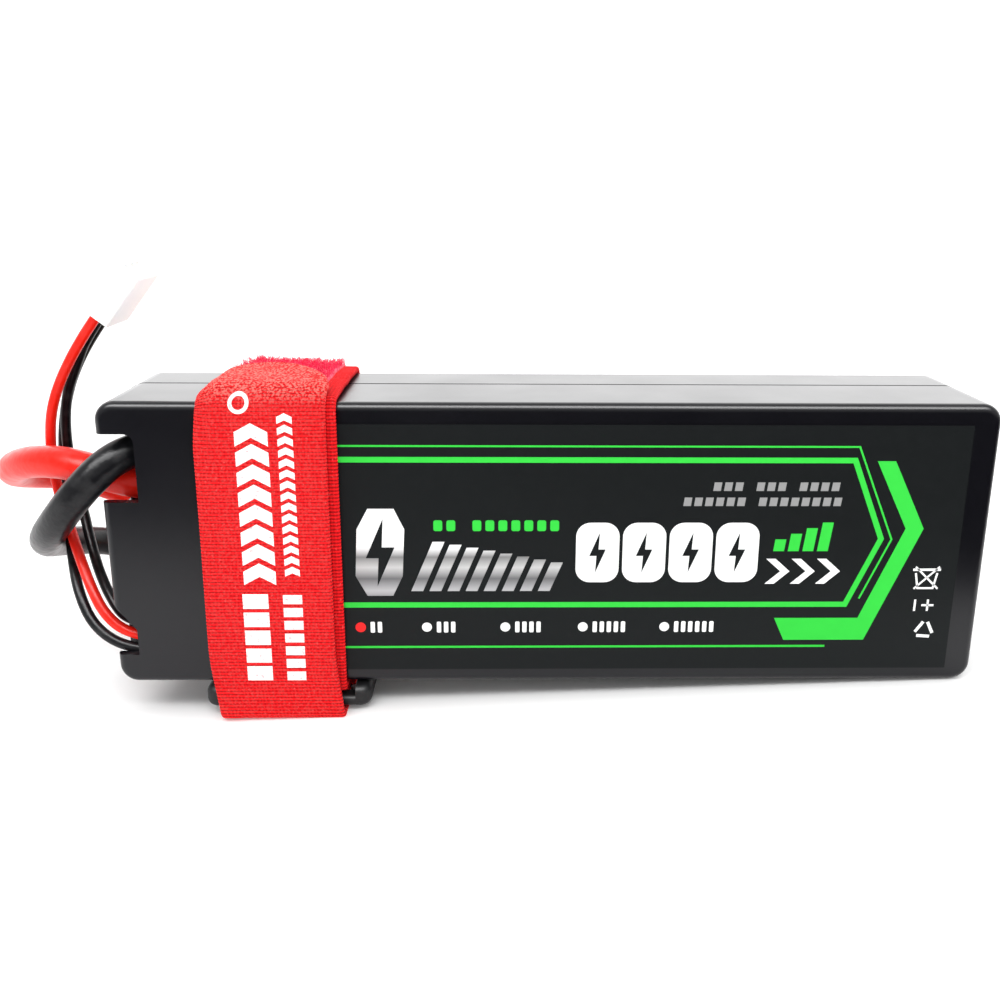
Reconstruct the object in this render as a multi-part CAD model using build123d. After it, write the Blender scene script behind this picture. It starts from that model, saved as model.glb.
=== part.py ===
from build123d import *
import math
import os

# Two-cell lithium polymer pack in a glued hard case, standing on its long narrow side.
# +X runs along the pack, away from the end where the leads come out. -Y is the labelled face.
# Z = 0 is the lowest face of the strap and its buckle, and the case hangs a little above it.
# Everything is in millimetres.

# Case
case_length, case_depth, case_height = 140.4, 25.0, 47.0
case_bottom = 5.2               # the strap and the buckle pass under the case
wall = 1.5
seam_y = 2.5                    # the front shell is 15 deep, the rear shell 10
end_radius = 3.0                # corners of the long face's outline
edge_radius = 1.2               # round edge between the large faces and the narrow ones
seam_chamfer = 0.3
lip_depth, lip_thickness, lip_gap = 1.2, 0.7, 0.1

# Lead recess and balance recess, both at the low-X end; heights above the case's bottom
lead_recess = dict(x=-62.4, y=-0.5, low=27.9, high=42.4)
lead_cut = dict(x=-64.4, low=31.0, high=42.0)
balance_recess = dict(x=-65.4, y=-6.5, low=3.4, high=14.2)
balance_cut = dict(x=-66.6, low=5.0, high=9.4, outer_high=14.0)

# Label
label_left, label_right, label_low, label_high = -50.0, 65.7, 2.4, 43.7
label_thickness = 0.18

# Cells and what holds them
cell_length, cell_depth, cell_height = 116.0, 10.1, 42.0
cell_start = -52.0
pouch_film = 0.3
gap_sheet = 0.4                 # adhesive sheet between the two cells
pad_thickness = 0.7
terrace, terrace_thickness = 2.0, 0.8
tab_width, tab_thickness = 10.0, 0.3
board_face, board_thickness = -58.6, 1.6

# Leads
lead_diameter = 5.4
wire_diameter = 1.7
clearance = 0.05                # between a lead and the hole it passes through

# Strap
strap_width, strap_thickness = 20.0, 0.9
pile_width, pile_thickness = 15.0, 0.7
hook_thickness, hook_gap = 0.3, 0.1
wrap_x, tail_x = -43.1, -44.4   # the outer layer sits a little off the inner one
strap_gap = 0.25                # between the case's bottom and the strap
fold_y, hinge_z = -15.4, 2.25   # where the outer layer bends away from the case
buckle_x, buckle_width, buckle_bar = -42.7, 27.0, 2.5
buckle_low, buckle_high = 1.3, 4.9
bar_low, bar_high = 1.5, 3.3

# Plugs
plug_end, plug_length, plug_width, plug_height = -52.0, 22.0, 16.0, 8.1
pole_pitch, contact_radius, contact_bore = 7.5, 2.6, 1.75
contact_bore_depth = 14.0
cap_length = 3.5
balance_pitch = 2.5
balance_body = (9.8, 5.75, 9.8)  # along the row of wires, across it, along the wires

half_depth = case_depth / 2
case_top = case_bottom + case_height
case_end = case_length / 2
mid_height = case_bottom + case_height / 2

os.makedirs("parts", exist_ok=True)


def box(x0, x1, y0, y1, z0, z1):
    """A box between two corners."""
    place = Location(((x0 + x1) / 2, (y0 + y1) / 2, (z0 + z1) / 2))
    return place * Box(x1 - x0, y1 - y0, z1 - z0)


def rod(x0, x1, y, z, radius):
    """A round bar along X."""
    return Location(((x0 + x1) / 2, y, z), (0, 90, 0)) * Cylinder(radius, x1 - x0)


def save(name, *solids):
    """One STEP file for each named piece."""
    shape = solids[0] if len(solids) == 1 else Compound(children=list(solids))
    shape.label = name
    export_step(shape, f"parts/{name}.step")


# ---------------------------------------------------------------- case shells

def outer_block():
    """The closed case's outside: rounded outline, then round edges on both large faces."""
    block = box(-case_end, case_end, -half_depth, half_depth, case_bottom, case_top)
    block = fillet(block.edges().filter_by(Axis.Y), end_radius)
    faces = block.faces().sort_by(Axis.Y)
    return fillet(faces[0].edges() + faces[-1].edges(), edge_radius)


def half_case(block, y0, y1):
    """The part of the outer block between two Y values, with its seam edge broken."""
    half = block & box(-case_end, case_end, y0, y1, case_bottom, case_top)
    seam_face = half.faces().filter_by(Axis.Y).sort_by(lambda face: abs(face.center().Y - seam_y))[0]
    return chamfer(seam_face.edges(), seam_chamfer)


def recess(size, grow=0.0):
    """The room behind the front wall that leads come out of, or its walls when grown."""
    return box(-case_end - 1, size["x"] + grow, -half_depth + wall - grow, size["y"] + grow,
               case_bottom + size["low"] - grow, case_bottom + size["high"] + grow)


def lead_opening():
    """The cut in the front wall at the lead recess, round at its inner top corner."""
    cut = box(-case_end - 1, lead_cut["x"], -half_depth - 1, -half_depth + wall + 1,
              case_bottom + lead_cut["low"], case_bottom + lead_cut["high"])
    inner = cut.edges().filter_by(Axis.Y).group_by(Axis.X)[-1]
    return fillet(inner.sort_by(Axis.Z)[-1:], wall)


def balance_opening():
    """The cut in the front wall at the balance recess: low inside, high at the end."""
    outline = Polyline((-case_end - 1, case_bottom + balance_cut["low"]),
                       (balance_cut["x"], case_bottom + balance_cut["low"]),
                       (balance_cut["x"], case_bottom + balance_cut["high"]),
                       (-case_end, case_bottom + balance_cut["outer_high"]),
                       (-case_end - 1, case_bottom + balance_cut["outer_high"]), close=True)
    face = Plane.XZ * make_face(outline)
    return Pos(0, -half_depth + wall + 0.5, 0) * extrude(face, amount=wall + 1.5)


def make_shells():
    block = outer_block()
    cavity = box(-case_end + wall, case_end - wall, -half_depth + wall, half_depth - wall,
                 case_bottom + wall, case_top - wall)
    pocket_walls = recess(lead_recess, wall) + recess(balance_recess, wall)
    front = half_case(block, -half_depth, seam_y) - (cavity - pocket_walls)
    front -= recess(lead_recess) + recess(balance_recess) + lead_opening() + balance_opening()
    front -= grommet_plug(lead_grommet) + grommet_plug(balance_grommet)
    rear = half_case(block, seam_y, half_depth) - cavity
    lip = box(-case_end + wall + lip_gap, case_end - wall - lip_gap, seam_y - lip_depth, seam_y + 2,
              case_bottom + wall + lip_gap, case_top - wall - lip_gap)
    inside = wall + lip_gap + lip_thickness
    lip -= box(-case_end + inside, case_end - inside, seam_y - 3, seam_y + 3,
               case_bottom + inside, case_top - inside)
    land = box(-case_end + wall / 2, case_end - wall / 2, seam_y, seam_y + 2,
               case_bottom + wall / 2, case_top - wall / 2)
    land -= box(-case_end + inside, case_end - inside, seam_y - 1, seam_y + 3,
                case_bottom + inside, case_top - inside)
    rear = rear + lip + land
    return front, rear


# ---------------------------------------------------------------- grommets

# x: outer face of the plug part; y and z: its sides; holes: (y, z, radius) of each lead
lead_grommet = dict(x=lead_recess["x"], y=(-8.9, -0.9), z=(case_bottom + 28.1, case_bottom + 41.8),
                    holes=[(-5.6, 43.7, lead_diameter / 2), (-4.0, 36.5, lead_diameter / 2)],
                    flange=((-9.6, -0.2), (case_bottom + 27.3, case_bottom + 42.6)), flange_depth=1.2)
balance_grommet = dict(x=balance_recess["x"], y=(-11.0, -7.4), z=(case_bottom + 3.4, case_bottom + 10.4),
                       holes=[(-9.9, 9.7, 1.0), (-9.9, 12.0, 1.0), (-8.6, 14.2, 1.0)],
                       flange=((-11.0, -6.6), (case_bottom + 2.6, case_bottom + 11.2)), flange_depth=1.0)


def grommet_plug(size):
    """The part of a grommet that fills its opening in the recess's end wall."""
    return box(size["x"], size["x"] + wall, *size["y"], *size["z"])


def make_grommet(size):
    back = size["x"] + wall
    body = grommet_plug(size)
    body += box(back, back + size["flange_depth"], *size["flange"][0], *size["flange"][1])
    for y, z, radius in size["holes"]:
        body -= rod(size["x"] - 1, back + size["flange_depth"] + 1, y, z, radius + clearance)
    return body


# ---------------------------------------------------------------- cells and wiring inside

def cell_places():
    """Low Y of each cell, front cell first."""
    front = -half_depth + wall + pad_thickness
    return front, front + cell_depth + gap_sheet


def make_cell(y0):
    """A pouch of laminated film with a sealed terrace at its tab end, and the stack inside it."""
    low, high = mid_height - cell_height / 2, mid_height + cell_height / 2
    end = cell_start + cell_length
    stack = box(cell_start + pouch_film, end - pouch_film, y0 + pouch_film, y0 + cell_depth - pouch_film,
                low + pouch_film, high - pouch_film)
    pouch = box(cell_start, end, y0, y0 + cell_depth, low, high)
    pouch = fillet(pouch.edges().filter_by(Axis.X), 1.5)
    middle = y0 + cell_depth / 2
    pouch += box(cell_start - terrace, cell_start, middle - terrace_thickness / 2,
                 middle + terrace_thickness / 2, low, high)
    stack = fillet(stack.edges().filter_by(Axis.X), 1.5 - pouch_film)
    return pouch - stack, stack


def make_tab(y0, height):
    """A flat tab from the pouch's terrace to the terminal board."""
    middle = y0 + cell_depth / 2
    return box(board_face + board_thickness, cell_start - terrace, middle - tab_thickness / 2,
               middle + tab_thickness / 2, mid_height + height - tab_width / 2,
               mid_height + height + tab_width / 2)


def solder_ring(y, z, inner, outer, height):
    """A fillet of solder round a lead's end, on the board's lead side."""
    rim = inner + 0.3 * (outer - inner)
    cone = Location((board_face - height / 2, y, z), (0, -90, 0)) * Cone(outer, rim, height)
    return cone - rod(board_face - 2, board_face + 1, y, z, inner)


def make_solder(tabs):
    rings = [solder_ring(y, z, radius + clearance, radius + 1.2, 1.0)
             for y, z, radius in lead_grommet["holes"]]
    rings += [solder_ring(y, z, wire_diameter / 2 + clearance, 1.05, 0.7)
              for y, z, _ in balance_grommet["holes"]]
    board_back = board_face + board_thickness
    for y0, height in tabs:
        side = y0 + cell_depth / 2 + tab_thickness / 2
        reach = tab_width / 2 - 0.5
        rings.append(box(board_back, board_back + 0.8, side, side + 1.0,
                         mid_height + height - reach, mid_height + height + reach))
    return rings


# ---------------------------------------------------------------- cords

def corner_radii(points):
    """0.45 of the shorter run beside each corner, divided by the tangent of half the turn."""
    radii = []
    for before, corner, after in zip(points, points[1:], points[2:]):
        run_in, run_out = Vector(corner) - Vector(before), Vector(after) - Vector(corner)
        turn = math.radians(run_in.get_angle(run_out))
        radii.append(0.45 * min(run_in.length, run_out.length) / math.tan(turn / 2))
    return radii


def make_cord(name, points, diameter):
    """A round cord: straight runs joined by tangent arcs."""
    radii = corner_radii(points)
    path = FilletPolyline(*points, radius=radii)
    section = Plane(origin=path @ 0, z_dir=path % 0) * Circle(diameter / 2)
    cord = sweep(section, path=path)
    volume = math.pi * diameter ** 2 / 4 * path.length
    print(f"{name}: length {path.length:.1f}, volume {cord.volume / volume:.4f} of section times length,",
          "radii", [round(radius, 1) for radius in radii])
    return cord


black_lead_route = [
    (-58.6, -5.6, 43.7), (-64.6, -5.6, 43.7), (-69.3, -8.6, 42.3), (-73.7, -10.9, 38.0),
    (-78.2, -9.4, 32.8), (-83.0, -4.4, 27.8), (-87.0, 3.4, 23.8), (-89.2, 12.6, 20.4),
    (-87.6, 21.6, 17.4), (-81.4, 27.8, 14.2), (-72.0, 30.3, 9.0), (-61.8, 31.0, 4.9),
    (-52.0, 31.0, 4.9)]
red_lead_route = [
    (-58.6, -4.0, 36.5), (-64.8, -4.0, 36.5), (-71.2, -4.6, 38.0), (-77.8, -3.8, 40.0),
    (-84.6, -0.6, 39.6), (-91.0, 4.8, 37.4), (-95.8, 12.0, 34.0), (-97.2, 20.4, 31.0),
    (-93.6, 28.0, 28.6), (-86.2, 32.6, 24.8), (-78.6, 35.6, 18.4), (-70.8, 37.6, 11.0),
    (-61.8, 38.5, 4.9), (-52.0, 38.5, 4.9)]
black_wire_route = [
    (-58.6, -9.9, 9.7), (-64.6, -9.9, 9.7), (-70.6, -10.1, 10.8), (-75.0, -9.2, 13.9),
    (-77.8, -6.8, 18.4), (-80.1, -2.6, 22.2), (-82.2, 2.2, 26.6), (-84.0, 6.2, 31.6),
    (-84.8, 8.6, 37.1), (-84.6, 9.4, 42.7), (-83.3, 9.4, 48.4), (-81.3, 9.4, 53.4),
    (-78.0, 9.4, 58.9), (-74.9, 9.4, 62.9)]
red_wire_route = [
    (-58.6, -9.9, 12.0), (-64.6, -9.9, 12.0), (-69.8, -9.9, 13.2), (-72.9, -9.5, 16.2),
    (-75.2, -7.9, 19.9), (-78.0, -4.5, 24.0), (-80.8, -0.8, 28.0), (-83.3, 2.4, 32.3),
    (-84.8, 4.3, 36.9), (-84.9, 4.7, 41.8), (-84.1, 4.5, 46.9), (-82.0, 4.4, 52.2),
    (-78.0, 4.4, 58.9), (-74.9, 4.4, 62.9)]
inner_wire_route = [
    (-58.6, -8.6, 14.2), (-64.6, -8.6, 14.2), (-69.8, -8.3, 14.4), (-73.0, -6.0, 17.3),
    (-76.0, -2.4, 20.7), (-78.4, 1.2, 24.4), (-80.4, 4.4, 28.7), (-82.1, 6.3, 33.8),
    (-83.1, 6.9, 39.0), (-83.0, 6.9, 44.6), (-82.1, 6.9, 49.7), (-79.9, 6.9, 54.7),
    (-78.0, 6.9, 58.9), (-74.9, 6.9, 62.9)]


# ---------------------------------------------------------------- power plug

def pole_places():
    """Centre of each pole of the power plug: negative, then positive."""
    return (black_lead_route[-1][1:], red_lead_route[-1][1:])


def make_plug():
    """A two-pole nylon plug, its rear cap and its two bullet sockets."""
    poles = pole_places()
    middle_y = (poles[0][0] + poles[1][0]) / 2
    middle_z = poles[0][1]
    body = box(plug_end + 0.5, plug_end + plug_length,
               middle_y - plug_width / 2, middle_y + plug_width / 2,
               middle_z - plug_height / 2, middle_z + plug_height / 2)
    keyed = body.edges().filter_by(Axis.X).group_by(Axis.Y)[-1]
    body = chamfer(keyed, 2.2)
    square = body.edges().filter_by(Axis.X).group_by(Axis.Y)[0]
    body = fillet(square, 0.8)
    cap = box(plug_end + 0.5 - cap_length, plug_end + 0.5, middle_y - plug_width / 2 + 0.6,
              middle_y + plug_width / 2 - 0.6, middle_z - plug_height / 2 + 0.6,
              middle_z + plug_height / 2 - 0.6)
    cap = fillet(cap.edges().filter_by(Axis.X), 1.2)
    contacts = []
    for y, z in poles:
        body -= rod(plug_end, plug_end + plug_length + 1, y, z, contact_radius + clearance)
        cap -= rod(plug_end - cap_length, plug_end + 1, y, z, lead_diameter / 2 + clearance)
        face = plug_end + plug_length - 0.6
        contact = rod(plug_end, face, y, z, contact_radius)
        contact -= rod(face - contact_bore_depth, face + 1, y, z, contact_bore)
        contacts.append(contact)
    return body, cap, contacts


# ---------------------------------------------------------------- balance plug

def balance_plane():
    """Centre of the row of wires where they enter the plug: X along the row, Z along the wires."""
    ends = [Vector(route[-1]) for route in (red_wire_route, inner_wire_route, black_wire_route)]
    along = (Vector(red_wire_route[-1]) - Vector(red_wire_route[-2])).normalized()
    row = ends[0] - ends[2]
    row = (row - along * row.dot(along)).normalized()
    return Plane(origin=ends[1], x_dir=row, z_dir=along)


def make_balance_plug():
    """A three-way crimp housing with guide ribs, and the three crimp contacts in it."""
    place = balance_plane()
    row, across, along = balance_body
    body = Pos(0, 0, along / 2 + 0.4) * Box(row, across, along)
    body = fillet(body.edges().filter_by(Axis.Z), 0.4)
    for side in (-1, 1):
        rib = Box(0.8, 0.6, along * 0.8)
        body += Pos(side * (row / 2 - 1.2), -across / 2 - 0.3, along / 2 + 0.4) * rib
    contacts = []
    for index in (-1, 0, 1):
        hole = Pos(index * balance_pitch, 0, along / 2 + 0.4) * Box(1.9, 1.9, along + 2)
        body -= hole
        barrel = Pos(index * balance_pitch, 0, along / 2 - 0.3) * Box(1.8, 1.8, along - 1.6)
        barrel -= Pos(index * balance_pitch, 0, along / 2 + 1.6) * Box(0.8, 0.8, along)
        contacts.append(place * barrel)
    return place * body, contacts


# ---------------------------------------------------------------- strap and buckle

def shifted(points, radii, amount):
    """A path in the YZ plane moved to its left, each corner's arc keeping its centre."""
    headings = [Vector(end[0] - start[0], end[1] - start[1]).normalized()
                for start, end in zip(points, points[1:])]
    pairs = list(zip(headings[:1] + headings, headings + headings[-1:]))
    moved = []
    for (y, z), (heading_in, heading_out) in zip(points, pairs):
        mean = (heading_in + heading_out).normalized()
        reach = amount / mean.dot(heading_in)
        moved.append((y - mean.Y * reach, z + mean.X * reach))
    turns = [heading_in.cross(heading_out).Z for heading_in, heading_out in pairs[1:-1]]
    grown = [radius - amount * math.copysign(1, turn) for radius, turn in zip(radii, turns)]
    return moved, grown


def strip(points, radii, thickness, centre_x, width):
    """A band of even thickness on the right of a path in the YZ plane, with its width along X."""
    left = FilletPolyline(*points, radius=radii)
    right_points, right_radii = shifted(points, radii, -thickness)
    right = FilletPolyline(*right_points, radius=right_radii)
    ends = [Line(left @ 0, right @ 0).edge(), Line(left @ 1, right @ 1).edge()]
    face = make_face(left.edges() + right.edges() + ends)
    solid = extrude(Plane.YZ * face, amount=width)
    return Pos(centre_x - width / 2, 0, 0) * solid


outer_y = -(half_depth + 0.45 + strap_thickness)     # front of the inner layer
under = case_bottom - strap_gap - strap_thickness    # lower face of the layer under the case
tail_reach, tongue_radius = 11.5, 9.0                # how far the tail runs over the top, its end's corners
back_y = 15.15                                       # slack at the back of the case
crown = 55.0                                         # top of the inner layer's arch
shoulder = 53.2
fold_face = fold_y + strap_thickness / 2             # inside of the tail, where the fold begins
wrap_path = [(fold_face, hinge_z - 0.55), (fold_face, strap_thickness), (-10.2, strap_thickness),
             (-10.2, under), (outer_y, under), (outer_y, shoulder), (0, crown), (-outer_y, shoulder),
             (back_y, 40.0), (back_y, 18.0), (-outer_y, under), (-4.1, under), (-4.1, strap_thickness),
             (0.4, strap_thickness), (3.4, under - 0.1), (10.0, under - 0.1)]
wrap_radii = [0.7, 1.2, 1.2, 1.3, 3.0, 40.0, 3.0, 30.0, 30.0, 2.2, 0.9, 0.9, 1.5, 2.0]


def make_strap():
    wrap = strip(wrap_path, wrap_radii, strap_thickness, wrap_x, strap_width)
    pile_route, pile_radii = shifted([(outer_y, 12.0)] + wrap_path[5:9] + [(back_y, 24.0)], wrap_radii[4:8],
                                     pile_thickness)
    pile = strip(pile_route, pile_radii, pile_thickness, wrap_x, pile_width)
    lift = pile_thickness + hook_gap + hook_thickness + strap_thickness
    tip = outer_y + tail_reach, shoulder + tail_reach * (crown - shoulder) / -outer_y
    tail_route, tail_radii = shifted([(outer_y, hinge_z), wrap_path[5], tip], wrap_radii[4:5], lift)
    tail = strip(tail_route, tail_radii, strap_thickness, tail_x, strap_width)
    tail += Pos(tail_x, fold_y, hinge_z) * (Rotation(0, 90, 0) * Cylinder(strap_thickness / 2, strap_width))
    plan = box(tail_x - strap_width / 2, tail_x + strap_width / 2, fold_y - 1, tail_route[-1][0], -1, 60)
    tongue = fillet(plan.edges().filter_by(Axis.Z).group_by(Axis.Y)[-1], tongue_radius)
    tail &= tongue
    hooks = box(tail_x - pile_width / 2, tail_x + pile_width / 2, fold_face, fold_face + hook_thickness,
                14.0, 46.0)
    return wrap, pile, tail, hooks


def make_buckle():
    """A moulded ring: two thick side bars joined by two thinner cross bars."""
    x0, x1 = buckle_x - buckle_width / 2, buckle_x + buckle_width / 2
    y0, y1 = -13.9, -0.9
    ring = box(x0, x1, y0, y1, buckle_low, buckle_high)
    ring = fillet(ring.edges().filter_by(Axis.Z), 2.0)
    ring = fillet(ring.edges().group_by(Axis.Z)[0] + ring.edges().group_by(Axis.Z)[-1], 1.2)
    inner0, inner1 = x0 + buckle_bar, x1 - buckle_bar
    ring -= box(inner0, inner1, y0 - 1, y1 + 1, buckle_low - 1, buckle_high + 1)
    for bar_y0, bar_y1 in ((y0, -10.9), (-3.4, y1)):
        bar = box(inner0 - 0.6, inner1 + 0.6, bar_y0, bar_y1, bar_low, bar_high)
        ring += fillet(bar.edges().filter_by(Axis.X), 0.8)
    return ring


def make_stitches():
    """Bar tacks that hold the strap's folded start to itself behind the buckle's rear bar."""
    face = under - 0.1 - strap_thickness
    rows = []
    for y in (5.2, 8.4):
        for index in range(9):
            x = wrap_x + (index - 4) * 2.0
            rows.append(box(x - 0.7, x + 0.7, y - 0.2, y + 0.2, face - 0.15, face))
    return rows


# ---------------------------------------------------------------- build

front_shell, rear_shell = make_shells()
save("front_shell", front_shell)
save("rear_shell", rear_shell)
save("front_label", box(label_left, label_right, -half_depth - label_thickness, -half_depth,
                        case_bottom + label_low, case_bottom + label_high))
save("lead_grommet", make_grommet(lead_grommet))
save("balance_grommet", make_grommet(balance_grommet))

cell_fronts = cell_places()
for cell_name, low_y in zip(("front_cell", "rear_cell"), cell_fronts):
    pouch, stack = make_cell(low_y)
    save(f"{cell_name}_pouch", pouch)
    save(f"{cell_name}_stack", stack)

cell_low, cell_high = mid_height - cell_height / 2, mid_height + cell_height / 2
cell_end = cell_start + cell_length
sheet_y = cell_fronts[0] + cell_depth
save("cell_adhesive_sheet", box(cell_start + 4, cell_end - 4, sheet_y, sheet_y + gap_sheet,
                                cell_low + 3, cell_high - 3))
save("front_foam_pad", box(cell_start, cell_end, -half_depth + wall, cell_fronts[0], cell_low, cell_high))
save("rear_foam_pad", box(cell_start, cell_end, cell_fronts[1] + cell_depth, half_depth - wall,
                          cell_low, cell_high))
save("end_foam_block", box(cell_end, case_end - wall - lip_gap - lip_thickness, -10, 10,
                           cell_low, cell_high))

tab_rise = 11.0
aluminium = [(cell_fronts[0], tab_rise), (cell_fronts[1], -tab_rise)]
nickel = [(cell_fronts[0], -tab_rise), (cell_fronts[1], tab_rise)]
save("aluminium_tabs", *[make_tab(*place) for place in aluminium])
save("nickel_tabs", *[make_tab(*place) for place in nickel])
save("terminal_board", box(board_face, board_face + board_thickness, -10.4, 10.4, cell_low, cell_high))
save("solder_joints", *make_solder(aluminium + nickel))
sleeve = box(board_face + board_thickness, cell_start - 0.1, -10.42, 10.42,
             cell_low - 0.12, cell_high + 0.12)
sleeve -= box(board_face, cell_start + 1, -10.3, 10.3, cell_low, cell_high)
save("insulation_sleeve", sleeve)

save("negative_lead", make_cord("negative_lead", black_lead_route, lead_diameter))
save("positive_lead", make_cord("positive_lead", red_lead_route, lead_diameter))
save("balance_wire_negative", make_cord("balance_wire_negative", black_wire_route, wire_diameter))
save("balance_wire_middle", make_cord("balance_wire_middle", inner_wire_route, wire_diameter))
save("balance_wire_positive", make_cord("balance_wire_positive", red_wire_route, wire_diameter))

plug_body, plug_cap, plug_contacts = make_plug()
save("power_plug_housing", plug_body)
save("power_plug_cap", plug_cap)
save("power_plug_negative_contact", plug_contacts[0])
save("power_plug_positive_contact", plug_contacts[1])
balance_housing, balance_contacts = make_balance_plug()
save("balance_plug_housing", balance_housing)
save("balance_plug_contacts", *balance_contacts)

strap_wrap, strap_pile, strap_tail, strap_hooks = make_strap()
save("strap_wrap", strap_wrap)
save("strap_loop_pile", strap_pile)
save("strap_tail", strap_tail)
save("strap_hook_patch", strap_hooks)
save("strap_buckle", make_buckle())
save("strap_stitches", *make_stitches())
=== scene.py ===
# A two-cell lithium polymer pack in a glued hard case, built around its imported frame.
# +X runs along the pack, away from its leads, -Y is the labelled face and +Z is up.
import math

import bpy
import numpy as np
from mathutils import Matrix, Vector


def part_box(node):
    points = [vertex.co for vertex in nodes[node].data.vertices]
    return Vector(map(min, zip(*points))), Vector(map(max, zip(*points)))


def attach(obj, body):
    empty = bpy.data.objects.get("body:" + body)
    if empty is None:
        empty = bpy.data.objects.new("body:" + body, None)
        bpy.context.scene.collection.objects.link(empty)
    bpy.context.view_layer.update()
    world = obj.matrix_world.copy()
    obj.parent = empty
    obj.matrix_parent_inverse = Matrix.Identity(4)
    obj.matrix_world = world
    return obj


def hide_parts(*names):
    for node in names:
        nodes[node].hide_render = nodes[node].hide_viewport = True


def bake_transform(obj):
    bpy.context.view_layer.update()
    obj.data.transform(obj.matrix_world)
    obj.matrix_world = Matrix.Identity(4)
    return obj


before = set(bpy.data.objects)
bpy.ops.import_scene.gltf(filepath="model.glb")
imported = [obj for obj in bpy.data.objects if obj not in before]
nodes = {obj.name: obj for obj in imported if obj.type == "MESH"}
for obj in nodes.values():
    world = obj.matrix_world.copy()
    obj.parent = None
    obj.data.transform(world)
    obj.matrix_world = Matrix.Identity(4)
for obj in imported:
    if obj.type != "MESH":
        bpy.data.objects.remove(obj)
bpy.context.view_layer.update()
mm = 0.001


# ------------------------------------------------------------------ materials and meshes
# A material's patterns are written as expressions on links, and every new mesh of the pack goes through
# add_mesh.

class Link:
    """One output socket. The usual operators on it add Math nodes."""

    def __init__(self, finish, socket):
        self.finish, self.socket = finish, socket

    def maths(self, operation, *values):
        return self.finish.add("Math", {"operation": operation}, *values)

    def __add__(self, other):
        return self.maths("ADD", self, other)

    def __sub__(self, other):
        return self.maths("SUBTRACT", self, other)

    def __mul__(self, other):
        return self.maths("MULTIPLY", self, other)

    def __truediv__(self, other):
        return self.maths("DIVIDE", self, other)

    def __lt__(self, other):
        return self.maths("LESS_THAN", self, other)

    def __gt__(self, other):
        return self.maths("GREATER_THAN", self, other)

    def __abs__(self):
        return self.maths("ABSOLUTE", self)

    def wave(self, pitch):
        """1 at each multiple of the pitch and 0 halfway between."""
        return self.maths("COSINE", self * (2 * math.pi / pitch)) * 0.5 + 0.5

    def saw(self, pitch):
        """From 0 up to 1 along each pitch."""
        return self.maths("FRACT", self / pitch)


class Finish:
    """A material: its Principled shader's sockets by name, and one method that adds any other node."""

    def __init__(self, name, **sockets):
        self.material = bpy.data.materials.new(name)
        self.material.use_nodes = True
        self.tree = self.material.node_tree
        self.shader = self.tree.nodes["Principled BSDF"]
        self.fill(self.shader, sockets)

    def fill(self, node, values):
        for key, value in values.items():
            socket = node.inputs[key.replace("_", " ") if isinstance(key, str) else key]
            if isinstance(value, Link):
                self.tree.links.new(value.socket, socket)
            elif value is not None:
                socket.default_value = value

    def add(self, kind, settings, *values, out=0, **named):
        """A node of a kind: its settings, then its sockets in order or by name."""
        node = self.tree.nodes.new("ShaderNode" + kind)
        for key, value in settings.items():
            if key == "stops":
                while len(node.color_ramp.elements) < len(value):
                    node.color_ramp.elements.new(0.5)
                for element, (position, colour) in zip(node.color_ramp.elements, value):
                    element.position, element.color = position, (*colour, 1)
            else:
                setattr(node, key, value)
        self.fill(node, {**dict(enumerate(values)), **named})
        return Link(self, node.outputs[out])

    def set(self, **sockets):
        self.fill(self.shader, sockets)
        return self.material

    def point(self):
        """The place on the piece, in millimetres."""
        place = self.add("TexCoord", {}, out="Object")
        return self.add("VectorMath", {"operation": "SCALE"}, place, Scale=1 / mm)

    def split(self, vector):
        parts = self.add("SeparateXYZ", {}, vector)
        return [Link(self, socket) for socket in parts.socket.node.outputs]

    def noise(self, per_mm, detail):
        """Even noise from 0 to 1, with so many cells in a millimetre."""
        return self.add("TexNoise", {}, Vector=self.point(), Scale=per_mm, Detail=detail)

    def mix(self, factor, first, second):
        """One colour at factor 0 and another at 1."""
        pair = [(*c, 1) if isinstance(c, tuple) else c for c in (first, second)]
        return self.add("Mix", {"data_type": "RGBA"}, factor, *[None] * 5, *pair, out=2)

    def ramp(self, factor, *stops):
        return self.add("ValToRGB", {"stops": stops}, factor)

    def fade(self, factor, start, end, low=0.0):
        """A low value up to the start, then a rise that reaches 1 at the end."""
        return self.ramp(factor, (start, (low,) * 3), (end, (1.0,) * 3))

    def bump(self, height, depth):
        """A Bump node whose height of 1 stands so many millimetres proud."""
        return self.add("Bump", {}, Strength=1.0, Distance=depth * mm, Height=height)


def dress(material, *names):
    """Gives CAD nodes their finish."""
    for name in names:
        nodes[name].data.materials.clear()
        nodes[name].data.materials.append(material)


def moulded(name, colour, roughness, grain, depth, **sockets):
    """Moulded plastic: a clouded sheen over a fine spark texture."""
    finish = Finish(name, **sockets)
    cloud = finish.noise(0.08, 3)
    pits = finish.noise(grain, 2)
    shade = tuple((0.92 if colour[0] > 0.5 else 0.75) * c for c in colour)
    finish.set(Base_Color=finish.mix(cloud, shade, colour), Roughness=cloud * 0.1 + (roughness - 0.05),
               Normal=finish.bump(pits, depth))
    return finish.material


def plain(name, colour, roughness, metallic=0.0, per_mm=0.8, depth=0.02):
    """A flat stock material with clouds of colour and a fine uneven face."""
    finish = Finish(name, Metallic=metallic)
    cloud = finish.noise(per_mm, 4)
    shade = tuple(0.78 * c for c in colour)
    finish.set(Base_Color=finish.mix(cloud, shade, colour), Roughness=cloud * 0.16 + (roughness - 0.08),
               Normal=finish.bump(cloud, depth))
    return finish.material


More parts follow.
